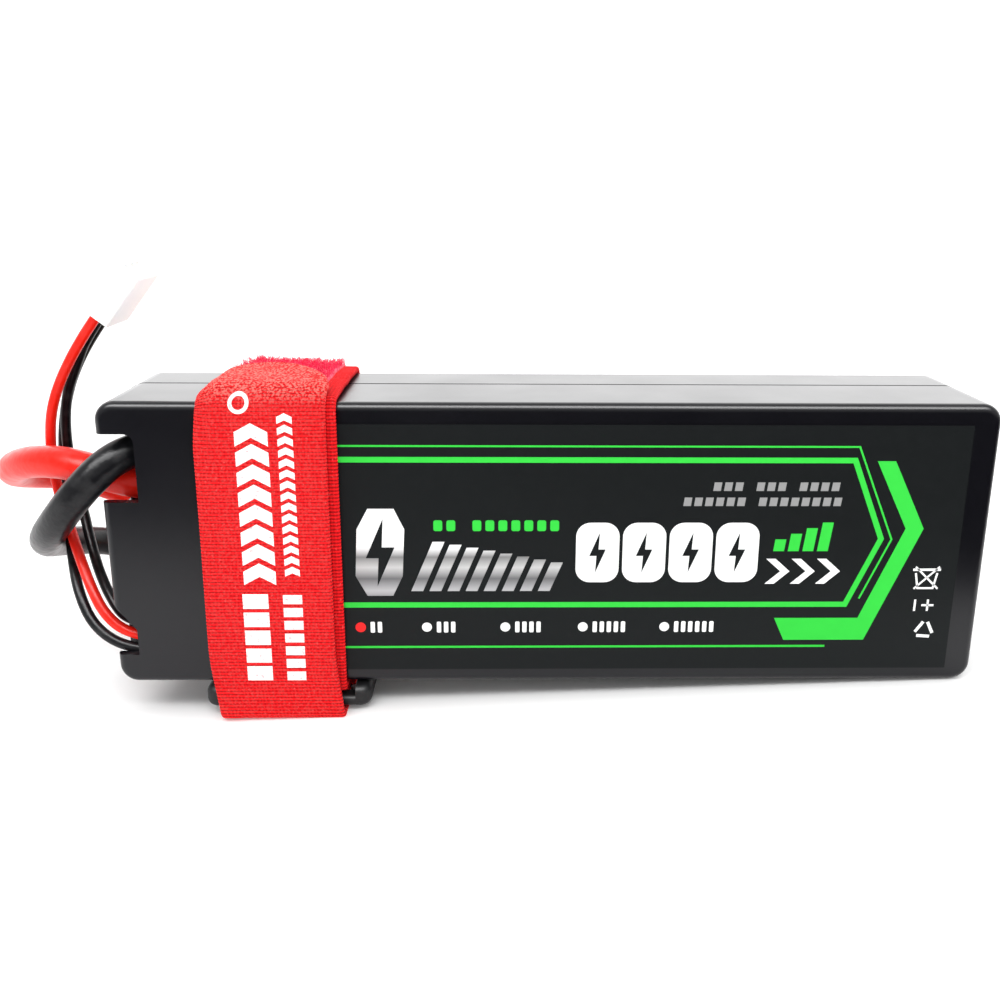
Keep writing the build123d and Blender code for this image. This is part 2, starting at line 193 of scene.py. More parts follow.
def add_mesh(name, points, faces, material, body):
    """A new piece from points in metres, smooth but for its sharp edges.
    It rides on a body if one is named."""
    mesh = bpy.data.meshes.new(name)
    mesh.from_pydata(np.asarray(points).reshape(-1, 3), [], faces)
    mesh.validate()
    mesh.shade_smooth()
    mesh.set_sharp_from_angle(angle=math.radians(40))
    mesh.materials.append(material)
    piece = bpy.data.objects.new(name, mesh)
    bpy.context.scene.collection.objects.link(piece)
    if body:
        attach(piece, body)
    return piece


# ------------------------------------------------------------------ case shells
# Two halves of black ABS, moulded with a fine spark texture and glued at the seam.

dress(moulded("case_plastic", (0.0016, 0.0014, 0.0040), 0.3, 3.0, 0.006, Specular_IOR_Level=0.36),
      "front_shell", "rear_shell")


# ------------------------------------------------------------------ label
# A printed film stuck on the front face. Its inks are flat shapes: a green frame, arrow and bars,
# four white boxes with bolts, a silver badge, grey and green dashes, rows of counted white bars, and
# three small pictograms.

label_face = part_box("front_label")[0][1]
ink_depth = 0.02 * mm


def outline_stroke(points, width):
    """The outline of a line of even width along some points, with mitred corners."""
    points = np.array(points, float)
    runs = np.diff(points, axis=0)
    runs /= np.linalg.norm(runs, axis=1)[:, None]
    before, after = np.vstack([runs[:1], runs]), np.vstack([runs, runs[-1:]])
    side = np.stack([-(before + after)[:, 1], (before + after)[:, 0]], axis=1)
    side /= np.linalg.norm(side, axis=1)[:, None]
    square = np.stack([-before[:, 1], before[:, 0]], axis=1)
    reach = side * (width / 2 / (side * square).sum(axis=1))[:, None]
    return np.vstack([points + reach, (points - reach)[::-1]])


def outline_round(x0, x1, z0, z1, radius):
    """A rectangle with round corners."""
    quarter = np.linspace(0, math.pi / 2, 9)
    corners = [(x1 - radius, z1 - radius), (x0 + radius, z1 - radius), (x0 + radius, z0 + radius),
               (x1 - radius, z0 + radius)]
    arcs = [np.stack([x + radius * np.cos(quarter + turn * math.pi / 2),
                      z + radius * np.sin(quarter + turn * math.pi / 2)], axis=1)
            for turn, (x, z) in enumerate(corners)]
    return np.vstack(arcs)


def outline_disc(x, z, radius):
    return outline_round(x - radius, x + radius, z - radius, z + radius, radius * 0.999)


def outline_lean(x, width, low, high, lean=0.12):
    """A bar that leans to the right by so much of its height."""
    shift = lean * (high - low)
    return np.array([(x, low), (x + width, low), (x + width + shift, high), (x + shift, high)])


def outline_bolt(x, z, width, height):
    """A lightning bolt about a centre."""
    half_shape = np.array([(0.12, 0.5), (-0.5, -0.08), (-0.06, -0.08)])
    return np.vstack([half_shape, -half_shape]) * (width, height) + (x, z)


def print_ink(name, outlines, material, layer=1):
    """Flat plates of ink, one for each outline of (x, z) in millimetres, on the label's face."""
    points, faces = [], []
    for outline in outlines:
        outline = np.asarray(outline)
        x, z = outline.T
        if (x * np.roll(z, -1) - z * np.roll(x, -1)).sum() < 0:
            x, z = x[::-1], z[::-1]
        count, first = len(x), sum(len(part) for part in points)
        for level in (layer, layer - 1):
            y = np.full(count, label_face - level * ink_depth)
            points.append(np.stack([x * mm, y, z * mm], axis=1))
        faces.append([first + i for i in range(count)])
        faces.append([first + count + i for i in reversed(range(count))])
        faces += [[first + i, first + count + i, first + count + (i + 1) % count, first + (i + 1) % count]
                  for i in range(count)]
    return add_mesh(name, np.vstack(points), faces, material, "pack")


def ink(name, colour):
    """Printed ink under a satin film, a little uneven."""
    finish = Finish(name, Specular_IOR_Level=0.12)
    cloud = finish.noise(0.6, 3)
    shade = tuple(0.93 * c for c in colour)
    finish.set(Base_Color=finish.mix(cloud, shade, colour), Roughness=cloud * 0.1 + 0.42)
    return finish.material


film = ink("label_film", (0.0062, 0.0078, 0.0084))
dress(film, "front_label")

line_left = -49.5
green = [
    outline_stroke([(line_left, 45.5), (48.0, 45.5), (54.5, 30.2), (50.2, 20.0)], 0.3),
    outline_stroke([(line_left, 43.3), (47.5, 43.3), (52.8, 30.3), (48.0, 19.0), (line_left, 19.0)], 0.9),
    outline_stroke([(line_left, 11.6), (45.3, 11.6)], 0.36),
    np.array([(51.0, 43.2), (53.9, 43.2), (59.5, 32.0), (51.6, 12.7), (38.4, 12.7), (36.6, 16.6),
              (50.3, 16.6), (56.6, 32.0)])]
green += [outline_lean(35.6 + 2.35 * i, 1.75, 28.2, 30.2 + 0.95 * i) for i in range(4)]
green += [outline_round(-18.6 + 2.05 * i, -17.2 + 2.05 * i, 31.6, 33.4, 0.35)
          for i in range(10) if i != 2]
print_ink("label_green_print", green, ink("green_ink", (0.033, 0.60, 0.052)))

bolt_z = 27.95
cell_lefts = [4.0 + 7.45 * i for i in range(4)]
white = [outline_round(left, left + 6.9, 22.9, 33.0, 2.3) for left in cell_lefts]
chevron_low, chevron_middle, chevron_high = 22.6, 24.75, 26.9
white += [np.array([(x, chevron_low), (x + 1.5, chevron_low), (x + 3.9, chevron_middle),
                    (x + 1.5, chevron_high), (x, chevron_high), (x + 2.4, chevron_middle)])
          for x in (34.6, 38.7, 42.8)]
dot_places, dot_height = (-30.6, -19.9, -7.2, 5.4, 18.7), 15.1
white += [outline_disc(x, dot_height, 0.8) for x in dot_places[1:]]
for cells, x in enumerate(dot_places, start=2):
    bar_lefts = [x + 1.6 + 1.15 * i for i in range(cells)]
    white += [outline_round(left, left + 0.7, 14.15, 16.05, 0.2) for left in bar_lefts]
white += [outline_stroke([(59.1, 24.4), (59.6, 21.8), (62.1, 21.8), (62.6, 24.4)], 0.32),
          outline_stroke([(58.6, 25.0), (63.1, 25.0)], 0.4),
          outline_stroke([(59.0, 21.7), (62.9, 25.5)], 0.3),
          outline_stroke([(59.0, 25.5), (62.9, 21.7)], 0.3),
          outline_stroke([(59.5, 19.8), (59.5, 17.8)], 0.34),
          outline_stroke([(60.6, 18.8), (62.6, 18.8)], 0.34),
          outline_stroke([(61.6, 19.8), (61.6, 17.8)], 0.34)]


def on_circle(angle):
    """A point on the circle that the three strokes of the lowest pictogram follow."""
    return 61.5 + 1.5 * math.cos(angle), 14.4 + 1.5 * math.sin(angle)


white += [outline_stroke([on_circle(a), on_circle(a + 1.6)], 0.5) for a in np.radians((100, 220, 340))]
print_ink("label_white_print", white, ink("white_ink", (0.95, 0.95, 0.95)))
cell_bolts = [outline_bolt(left + 3.45, bolt_z, 2.6, 6.8) for left in cell_lefts]
print_ink("label_cell_bolts", cell_bolts, film, 2)
print_ink("label_red_print", [outline_disc(dot_places[0], dot_height, 0.85)],
          ink("red_ink", (0.83, 0.02, 0.02)))

grey = [outline_lean(25.4 + 1.7 * i, 1.2, 38.3, 39.7) for i in range(12) if i not in (3, 7)]
grey += [outline_lean(20.8 + 1.7 * i, 1.2, 35.8, 37.2) for i in range(15) if i != 6]
print_ink("label_grey_print", grey, ink("grey_ink", (0.28, 0.28, 0.28)))

silver = Finish("silver_ink", Specular_IOR_Level=0.12, Roughness=0.4)
badge_low, badge_high = 20.6, 35.3
share_up = (silver.split(silver.point())[2] - badge_low) / (badge_high - badge_low)
silver.set(Base_Color=silver.ramp(
    share_up, (0.0, (0.3, 0.3, 0.31)), (0.06, (0.42, 0.42, 0.43)), (0.2, (0.14, 0.14, 0.145)),
    (0.33, (0.5, 0.5, 0.5)), (0.45, (0.2, 0.2, 0.2)), (0.58, (0.9, 0.9, 0.9)), (1.0, (0.88, 0.88, 0.88))))
badge = [np.array([(-31.1, 24.0), (-29.3, badge_low), (-25.2, badge_low), (-23.6, 24.0), (-23.2, 31.9),
                   (-24.8, badge_high), (-28.9, badge_high), (-30.7, 31.9)])]
badge += [outline_lean(x, 1.9, 21.4, 29.8 - 0.5 * i, 0.42)
          for i, x in enumerate(np.arange(-22.3, 0.0, 2.9))]
print_ink("label_silver_badge", badge, silver.material)
print_ink("label_badge_cuts", [outline_bolt(-27.1, bolt_z, 4.6, 11.4)], film, 2)


# ------------------------------------------------------------------ grommets
# Soft black rubber plugs that close each recess round the leads, pressed in before the halves are glued.

dress(moulded("grommet_rubber", (0.012, 0.012, 0.012), 0.7, 5.0, 0.01), "lead_grommet",
      "balance_grommet")


# ------------------------------------------------------------------ cells and what joins them
# Two pouches of aluminium laminate with wound foils, tabs welded to a green board, foam and sheet
# that wedge them in the case, and an amber film over the tabs. All of it is sealed in.

dress(plain("pouch_film", (0.62, 0.63, 0.65), 0.35, 0.9, 0.3, 0.1), "front_cell_pouch", "rear_cell_pouch")
dress(plain("adhesive_sheet", (0.85, 0.84, 0.78), 0.8), "cell_adhesive_sheet")
dress(plain("foam", (0.12, 0.12, 0.12), 0.95, 0.0, 3.0, 0.15), "front_foam_pad", "rear_foam_pad",
      "end_foam_block")
dress(plain("aluminium_tab", (0.78, 0.78, 0.8), 0.35, 1.0), "aluminium_tabs")
dress(plain("nickel_tab", (0.66, 0.63, 0.58), 0.3, 1.0), "nickel_tabs")
dress(plain("board_laminate", (0.03, 0.2, 0.07), 0.4), "terminal_board")
dress(plain("solder", (0.6, 0.6, 0.62), 0.25, 1.0, 1.5, 0.05), "solder_joints")
dress(plain("amber_film", (0.7, 0.35, 0.04), 0.3), "insulation_sleeve")

foils = Finish("electrode_stack")
layer = foils.split(foils.point())[1].wave(0.3)
foils.set(Base_Color=foils.mix(layer, (0.05, 0.05, 0.055), (0.2, 0.15, 0.1)), Roughness=0.6,
          Normal=foils.bump(layer, 0.05))
dress(foils.material, "front_cell_stack", "rear_cell_stack")


# ------------------------------------------------------------------ power leads
# Two 10 AWG leads with soft, shiny silicone over fine copper strands. They leave the upper recess,
# loop in front of the case's end and come down behind it to the plug.

def silicone(name, colour, roughness):
    """Extruded silicone: glossy, slightly wavy, with a dusting that dulls it in patches."""
    finish = Finish(name, Specular_IOR_Level=0.2)
    dust = finish.noise(0.5, 5)
    dull = finish.fade(dust, 0.45, 0.75)
    swell = finish.noise(0.9, 2)
    pale = tuple(0.94 * c + 0.012 for c in colour)
    finish.set(Base_Color=finish.mix(dull, colour, pale), Roughness=dull * 0.14 + roughness,
               Normal=finish.bump(swell, 0.05))
    return finish.material


def round_cord(name, route, diameter, material):
    """A free cord: one smooth spline whose control points are the route's, in millimetres."""
    curve = bpy.data.curves.new(name, "CURVE")
    curve.dimensions = "3D"
    curve.resolution_u = 16
    curve.bevel_depth = diameter / 2 * mm
    curve.bevel_resolution = 10
    curve.use_fill_caps = True
    spline = curve.splines.new("NURBS")
    spline.points.add(len(route) - 1)
    spline.points.foreach_set("co", np.column_stack([np.array(route) * mm, np.ones(len(route))]).ravel())
    spline.order_u = 3
    spline.use_endpoint_u = True
    curve.materials.append(material)
    cord = bpy.data.objects.new(name, curve)
    bpy.context.scene.collection.objects.link(cord)
    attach(cord, "pack")
    return cord


lead_diameter, wire_diameter = 5.4, 1.7
black_silicone = silicone("black_silicone", (0.0045, 0.0045, 0.0060), 0.28)
red_silicone = silicone("red_silicone", (0.84, 0.013, 0.004), 0.3)

black_lead_route = [
    (-58.6, -5.6, 43.7), (-64.6, -5.6, 43.7), (-69.3, -8.6, 42.3), (-73.7, -10.9, 38.0),
    (-78.2, -9.4, 32.8), (-83.0, -4.4, 27.8), (-87.0, 3.4, 23.8), (-89.2, 12.6, 20.4),
    (-87.6, 21.6, 17.4), (-81.4, 27.8, 14.2), (-72.0, 30.3, 9.0), (-61.8, 31.0, 4.9),
    (-52.0, 31.0, 4.9)]
red_lead_route = [
    (-58.6, -4.0, 36.5), (-64.8, -4.0, 36.5), (-71.2, -4.6, 38.0), (-77.8, -3.8, 40.0),
    (-84.6, -0.6, 39.6), (-91.0, 4.8, 37.4), (-95.8, 12.0, 34.0), (-97.2, 20.4, 31.0),
    (-93.6, 28.0, 28.6), (-86.2, 32.6, 24.8), (-78.6, 35.6, 18.4), (-70.8, 37.6, 11.0),
    (-61.8, 38.5, 4.9), (-52.0, 38.5, 4.9)]

negative_lead = round_cord("power_lead_negative", black_lead_route, lead_diameter, black_silicone)
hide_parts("negative_lead")
positive_lead = round_cord("power_lead_positive", red_lead_route, lead_diameter, red_silicone)
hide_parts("positive_lead")


# ------------------------------------------------------------------ balance wires
# Three 22 AWG wires from the lower recess: pack negative, the joint between the cells, and pack
# positive. They rise in a loose bundle to the three-way balance plug.

black_wire_route = [
    (-58.6, -9.9, 9.7), (-64.6, -9.9, 9.7), (-70.6, -10.1, 10.8), (-75.0, -9.2, 13.9),
    (-77.8, -6.8, 18.4), (-80.1, -2.6, 22.2), (-82.2, 2.2, 26.6), (-84.0, 6.2, 31.6),
    (-84.8, 8.6, 37.1), (-84.6, 9.4, 42.7), (-83.3, 9.4, 48.4), (-81.3, 9.4, 53.4),
    (-78.0, 9.4, 58.9), (-74.9, 9.4, 62.9)]
red_wire_route = [
    (-58.6, -9.9, 12.0), (-64.6, -9.9, 12.0), (-69.8, -9.9, 13.2), (-72.9, -9.5, 16.2),
    (-75.2, -7.9, 19.9), (-78.0, -4.5, 24.0), (-80.8, -0.8, 28.0), (-83.3, 2.4, 32.3),
    (-84.8, 4.3, 36.9), (-84.9, 4.7, 41.8), (-84.1, 4.5, 46.9), (-82.0, 4.4, 52.2),
    (-78.0, 4.4, 58.9), (-74.9, 4.4, 62.9)]
inner_wire_route = [
    (-58.6, -8.6, 14.2), (-64.6, -8.6, 14.2), (-69.8, -8.3, 14.4), (-73.0, -6.0, 17.3),
    (-76.0, -2.4, 20.7), (-78.4, 1.2, 24.4), (-80.4, 4.4, 28.7), (-82.1, 6.3, 33.8),
    (-83.1, 6.9, 39.0), (-83.0, 6.9, 44.6), (-82.1, 6.9, 49.7), (-79.9, 6.9, 54.7),
    (-78.0, 6.9, 58.9), (-74.9, 6.9, 62.9)]

balance_wires = {
    "balance_wire_negative": (black_wire_route, 0.0770, black_silicone, "black_wire"),
    "balance_wire_positive": (red_wire_route, 0.0719, red_silicone, "red_wire"),
    "balance_wire_middle": (inner_wire_route, 0.0699, black_silicone, "black_wire")}
for node, (route, length, material, slot) in balance_wires.items():
    wire = round_cord(node.replace("wire", "cord"), route, wire_diameter, material)
    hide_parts(node)
    exit_place = (-0.0654, route[0][1] * mm, route[0][2] * mm)


# ------------------------------------------------------------------ plugs
# The power plug is yellow nylon with two gold-plated bullet sockets, and a cap over the solder cups.
# The balance plug is natural nylon with three tinned crimp contacts.

dress(moulded("plug_nylon", (0.86, 0.5, 0.03), 0.42, 4.0, 0.01, Subsurface_Weight=0.06),
      "power_plug_housing", "power_plug_cap")
dress(plain("gold_plate", (0.95, 0.66, 0.26), 0.22, 1.0), "power_plug_negative_contact",
      "power_plug_positive_contact")
dress(moulded("white_nylon", (0.98, 0.98, 0.97), 0.5, 4.0, 0.008, Subsurface_Weight=0.1),
      "balance_plug_housing")
dress(plain("tin_plate", (0.72, 0.72, 0.72), 0.3, 1.0), "balance_plug_contacts")


# ------------------------------------------------------------------ strap
# Red 20 mm hook-and-loop webbing with fine cross ribs. It goes once round the case, through the
# buckle and back up the front as a tail, whose outer face is printed with white marks.

rib = 0.57 * mm
strap_half, strap_depth = 10.0 * mm, 0.9 * mm
wrap_x, tail_x = -43.1 * mm, -44.4 * mm


def rounded_path(corners, radii, step):
    """Straight runs in the YZ plane joined by tangent arcs, cut into even steps.
    Gives the distance, place and outward direction (to the left of the way) of each step."""
    corners = np.array(corners) * mm
    trail = [corners[:1]]
    for before, corner, after, radius in zip(corners, corners[1:], corners[2:], np.array(radii) * mm):
        way_in = (corner - before) / np.linalg.norm(corner - before)
        way_out = (after - corner) / np.linalg.norm(after - corner)
        turn = np.arctan2(way_in[0] * way_out[1] - way_in[1] * way_out[0], way_in @ way_out)
        inward = np.array([-way_in[1], way_in[0]]) * np.sign(turn)
        start = corner - way_in * radius * np.tan(abs(turn) / 2)
        angle = np.linspace(0, abs(turn), 32)[:, None]
        trail.append(start + radius * (np.sin(angle) * way_in + (1 - np.cos(angle)) * inward))
    trail = np.concatenate(trail + [corners[-1:]])
    run = np.concatenate([[0], np.cumsum(np.linalg.norm(np.diff(trail, axis=0), axis=1))])
    along = np.linspace(0, run[-1], round(run[-1] / step) + 1)
    place = np.stack([np.interp(along, run, trail[:, axis]) for axis in (0, 1)], axis=1)
    way = np.gradient(place, axis=0)
    way /= np.linalg.norm(way, axis=1)[:, None]
    return along, place, np.stack([-way[:, 1], way[:, 0]], axis=1)


def tube_faces(rows, columns):
    """Quads over a grid that closes on itself across, with its two ends filled."""
    row, column = np.meshgrid(np.arange(rows - 1), np.arange(columns), indexing="ij")
    right = (column + 1) % columns
    quads = np.stack([row * columns + column, row * columns + right,
                      (row + 1) * columns + right, (row + 1) * columns + column], axis=-1).reshape(-1, 4)
    last = (rows - 1) * columns
    return quads.tolist() + [list(range(columns))[::-1], list(range(last, last + columns))]


def smooth(value):
    """0 up to 0, then an even rise to 1."""
    value = np.clip(value, 0, 1)
    return value ** 2 * (3 - 2 * value)


ridge_x, ridge_power, top_low = wrap_x - 1.5 * mm, 2.6, 50.0 * mm
most_sag, sag_loss, sag_end, sag_fade = 1.3 * mm, 0.09, 13.0 * mm, 2.0 * mm


def sag(x, y, z):
    """How far each place on top of the case drops, so that the strap's two edges lie on the case.
    It is greatest over the middle of the case's depth and gone at its two faces."""
    room = np.clip(most_sag - sag_loss * np.abs(y), 0, None) * smooth((sag_end - np.abs(y)) / sag_fade)
    return room * np.clip(np.abs(x - ridge_x) / strap_half, 0, 1) ** ridge_power * (z > top_low)


selvage_steps = 5
border_inner, border_fade, basket_pitch = 6.6 * mm, 0.9 * mm, 1.1 * mm
border_rise, middle_rise, basket_rise, selvage_rise = 0.1, 0.035, 0.02, 0.06 * mm
press_inner, press_room, press_outer = 7.4 * mm, 2.6 * mm, 10.0 * mm


def webbing(name, path, half, centre, material, body, columns=34, press=0.0):
    """A woven band. Across: a flat face, a round selvage, the back face and the other selvage.
    Along: rounded ribs one pick apart, full at the borders and broken into a basket in the middle.
    Press is how far its edges are pushed in past the pile: a little up the front, fully at the top."""
    along, place, outward = path
    edge = strap_depth / 2
    swing = np.linspace(0, math.pi, selvage_steps + 2)[1:-1]
    flat = np.linspace(-1, 1, columns)
    share = np.concatenate([flat, np.ones(selvage_steps), flat[::-1], -np.ones(selvage_steps)])
    beyond = np.concatenate([0 * flat, np.sin(swing), 0 * flat, -np.sin(swing)]) * edge
    depth = np.concatenate([0 * flat, 1 - np.cos(swing), 0 * flat + 2, 1 + np.cos(swing)]) * edge
    across = share * (half[:, None] - edge) + beyond
    pick = np.abs(np.sin(math.pi * along / rib))[:, None] ** 0.7
    odd = (np.floor(along / rib) % 2)[:, None] * math.pi
    border = np.clip((np.abs(across) - border_inner) / border_fade, 0, 1)
    basket = np.cos(2 * math.pi * across / basket_pitch + odd)
    swell = (border_rise * border + (middle_rise + basket_rise * basket) * (1 - border)) * mm
    lift = pick * swell * (1 - depth / edge)
    x = centre[:, None] + across + np.sign(beyond) * pick * selvage_rise
    past = np.abs(x - wrap_x)
    pushed = press * smooth((past - press_inner) / press_room)
    pushed = pushed + np.clip(past - press_outer, 0, None) * (press > 0)
    height = place[:, 1:] / mm
    pushed = pushed * (0.12 * smooth((height - 15) / 20) + 0.88 * smooth((height - 45) / 8))
    moved = lift - depth - pushed
    y, z = place[:, :1] + outward[:, :1] * moved, place[:, 1:] + outward[:, 1:] * moved
    z = z - sag(x, place[:, :1], place[:, 1:])
    points = np.stack([x, y, z], axis=-1)
    piece = add_mesh(name, points, tube_faces(*x.shape), material, body)
    woven = np.stack([across / mm, np.broadcast_to(along[:, None] / mm, x.shape),
                      np.broadcast_to(1 - depth / edge, x.shape)], axis=-1)
    layer = piece.data.attributes.new("woven", "FLOAT_VECTOR", "POINT")
    layer.data.foreach_set("vector", woven.astype(np.float32).ravel())
    return piece


# The valley red is painted shade for the grooves between ribs; the fleck red and the frayed red are
# painted highlights on loose fibres, the frayed red partly also the real fray at the tail's top.
valley_shade_red, crest_red, fleck_highlight_red = (0.30, 0.0010, 0.003), (0.97, 0.0095, 0.013), (1.0, 0.12, 0.12)
fray_and_highlight_red, print_white = (1.0, 0.36, 0.30), (0.95, 0.93, 0.94)


def webbing_finish(name, printed):
    """Dyed polyester: rib crests in the dye's colour, painted shade darkening the valleys between ribs
    and pale flecks painted as highlights on loose fibres. The printed one also has white ink, and a
    frayed top painted a paler red, partly its own fray and partly a painted highlight."""
    finish = Finish(name, Specular_IOR_Level=0.08, Sheen_Weight=0.03, Sheen_Roughness=0.4)
    woven = finish.add("Attribute", {"attribute_name": "woven"}, out="Vector")
    across, along, face = finish.split(woven)
    crest = abs(along.maths("SINE", along * (math.pi * mm / rib)))
    warp = across.wave(0.55)
    # Painted highlights: pale flecks where loose fibres catch the light, mixed a third of the way to the
    # pale fleck red.
    highlight_fleck = finish.fade(finish.noise(2.2, 1), 0.62, 0.74)
    # Painted shade: the grooves between the ribs, and faintly those between the warp threads, are
    # coloured towards the dark valley red.
    shade = crest * crest * 0.8 + warp * 0.2
    dyed = finish.mix(shade, valley_shade_red, crest_red)
    dyed = finish.mix(highlight_fleck * 0.3, dyed, fleck_highlight_red)
    colour = dyed
    if printed:
        x, y, z = finish.split(finish.point())
        x = x - tail_x / mm

        def column(centre, half, low, count, pitch, stroke, slope):
            """A row of marks up the tail: chevrons with a slope, bars without."""
            off = abs(x - centre)
            rise = z - low + off * slope
            return (rise.saw(pitch) < stroke) * (off < half) * (rise > 0.0) * (rise < count * pitch)

        marks = column(-1.1, 2.5, 25.2, 8, 3.2, 0.7, 0.55) + column(-2.0, 2.0, 7.4, 5, 3.1, 0.8, 0.0)
        marks = marks + column(4.0, 1.15, 25.8, 15, 1.75, 0.62, 0.5)
        marks = marks + column(3.8, 1.5, 7.4, 7, 2.2, 0.7, 0.0)
        ring_x, ring_z = x + 2.8, z - 52.8
        ring = abs(ring_x * ring_x + ring_z * ring_z - 1.7)
        marks = marks + (ring < 0.75)
        worn = finish.fade(finish.noise(1.6, 3), 0.28, 0.4, low=0.55)
        forward = y < -13.0
        ink_cover = marks * (face > 0.5) * forward * worn * (crest * 0.25 + 0.75)
        # The top of the tail: a fine speckle of paler red that is partly the real fray and partly painted
        # highlight where the top faces the light, faint lower down and full above about 55 mm.
        fray_and_highlight = finish.fade(finish.noise(2.6, 4), 0.47, 0.56)
        top = finish.fade((z - 50.0) / 8.0, 0.3, 0.6, low=0.12)
        dyed = finish.mix(fray_and_highlight * top * 0.45, dyed, fray_and_highlight_red)
        colour = finish.mix(ink_cover, dyed, print_white)
    thread = finish.noise(6.0, 2)
    finish.set(Base_Color=colour, Roughness=thread * 0.2 + 0.65,
               Normal=finish.bump(crest * 0.5 + warp * 0.25 + thread * 0.25, 0.06))
    return finish.material


plain_webbing = webbing_finish("strap_webbing", False)
printed_webbing = webbing_finish("strap_printed_webbing", True)

tail_y, fold_top = -15.85, 3.2 * mm
tail_path = rounded_path([(-11.5, 0), (tail_y, 0), (tail_y, 54.95), (-2.6, 56.67)], [1.6, 5.0], rib / 6)
along, place, outward = tail_path
split = int(np.argmax(place[:, 1] > fold_top))
tongue = 9.0 * mm
past = np.clip(along - (along[-1] - tongue), 0, tongue)
tail_half = strap_half - tongue + np.sqrt(tongue ** 2 - past ** 2)
lean_low, lean_rise = -2 * mm, 15 * mm
tail_centre = wrap_x + (tail_x - wrap_x) * smooth((place[:, 1] - lean_low) / lean_rise)

fold = webbing("strap_fold", [part[:split + 1] for part in tail_path], tail_half[:split + 1],
               tail_centre[:split + 1], printed_webbing, None)
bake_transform(fold)
tail = webbing("strap_outer_layer", [part[split:] for part in tail_path], tail_half[split:],
               tail_centre[split:], printed_webbing, "tail", press=1.0 * mm)
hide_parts("strap_tail")

under_bar, under_case, wrap_y = 0.9, 4.05, 13.85
wrap_corners = [(-11.5, under_bar), (-10.2, under_bar), (-10.2, under_case), (-wrap_y, under_case),
                (-wrap_y, 53.2), (0, 55), (wrap_y, 53.2), (15.15, 40), (15.15, 18), (wrap_y, under_case),
                (-4.1, under_case), (-4.1, under_bar), (0.4, under_bar), (3.4, 3.95), (10, 3.95)]
wrap_radii = [1.2, 1.2, 1.3, 3, 40, 3, 30, 30, 2.2, 0.9, 0.9, 1.5, 2.0]
wrap_path = rounded_path(wrap_corners, wrap_radii, rib / 4)
steps = len(wrap_path[0])
wrap = webbing("strap_inner_layer", wrap_path, np.full(steps, strap_half), np.full(steps, wrap_x),
               plain_webbing, "strap", 26)
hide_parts("strap_wrap")


# ------------------------------------------------------------------ loop pile and hooks
# The soft half of the fastener is a brushed knit of fine nylon loops, sewn along the strap's outer
# face. The other half is a patch of stiff moulded hooks on the inside of the tail.

rings, sides = 6, 3


def fibres(name, root, up, side, arc, reach, height, radius, material, body):
    """Curved fibres: each is a triangular tube round part of an ellipse that stands on its root."""
    angle = np.linspace(*arc, rings)[None, :, None]
    sideways, upwards = side[:, None] * reach[:, None, None], up[:, None] * height[:, None, None]
    centre = root[:, None] + sideways * np.cos(angle)
    centre = centre + upwards * np.sin(angle)
    way = -sideways * np.sin(angle) + upwards * np.cos(angle)
    way /= np.linalg.norm(way, axis=2)[..., None]
    flank = np.broadcast_to(np.cross(side, up)[:, None], way.shape)
    crown = np.cross(way, flank)
    turn = (np.arange(sides) * 2 * math.pi / sides)[None, None, :, None]
    outward = np.cos(turn) * flank[:, :, None] + np.sin(turn) * crown[:, :, None]
    points = centre[:, :, None] + radius * outward
    ring, corner = np.meshgrid(np.arange(rings - 1), np.arange(sides), indexing="ij")
    after = (corner + 1) % sides
    quads = np.stack([ring * sides + corner, ring * sides + after, (ring + 1) * sides + after,
                      (ring + 1) * sides + corner], axis=-1).reshape(-1, 4)
    first = np.arange(len(root)) * rings * sides
    quads = (first[:, None, None] + quads).reshape(-1, 4).tolist()
    end = np.arange(sides)
    ends = (first[:, None] + end[::-1]).tolist() + (first[:, None] + (rings - 1) * sides + end).tolist()
    return add_mesh(name, points, quads + ends, material, body)


pile_finish = Finish("strap_pile", Specular_IOR_Level=0.1, Sheen_Weight=0.35, Sheen_Roughness=0.5)
tuft = pile_finish.noise(1.3, 4)
pile_finish.set(Base_Color=pile_finish.mix(tuft, (0.78, 0.012, 0.07), (0.9, 0.026, 0.12)),
                Roughness=tuft * 0.2 + 0.7, Normal=pile_finish.bump(tuft, 0.3))

_, wrap_place, wrap_out = wrap_path
on_front = (wrap_place[:, 0] < -13 * mm) & (wrap_place[:, 1] > 12 * mm)
first_row = int(np.argmax(on_front))
on_back = (wrap_place[:, 0] > 10 * mm) & (wrap_place[:, 1] < 24 * mm)
last_row = int(np.argmax(on_back))
pile_half, pile_base = 7.5 * mm, 0.4 * mm
pile_place, pile_out = wrap_place[first_row:last_row:2], wrap_out[first_row:last_row:2]
shares = np.concatenate([np.linspace(-1, 1, 48), np.linspace(1, -1, 8)])
heights = np.concatenate([np.ones(48), -0.1 * np.ones(8)]) * pile_base
rows = np.arange(len(pile_place))[:, None]
lumps = np.sin(rows * 0.9 + shares * 31) * np.sin(rows * 0.37 - shares * 17) * 0.1 * mm
heights = heights + lumps * (heights > 0)
pile_x = wrap_x + shares * pile_half + 0 * rows
pile_points = np.stack([pile_x, pile_place[:, :1] + pile_out[:, :1] * heights,
                        pile_place[:, 1:] + pile_out[:, 1:] * heights
                        - sag(pile_x, pile_place[:, :1], pile_place[:, 1:])], axis=-1)
pile = add_mesh("strap_pile_base", pile_points, tube_faces(*pile_points.shape[:2]), pile_finish.material,
                "strap")
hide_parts("strap_loop_pile")

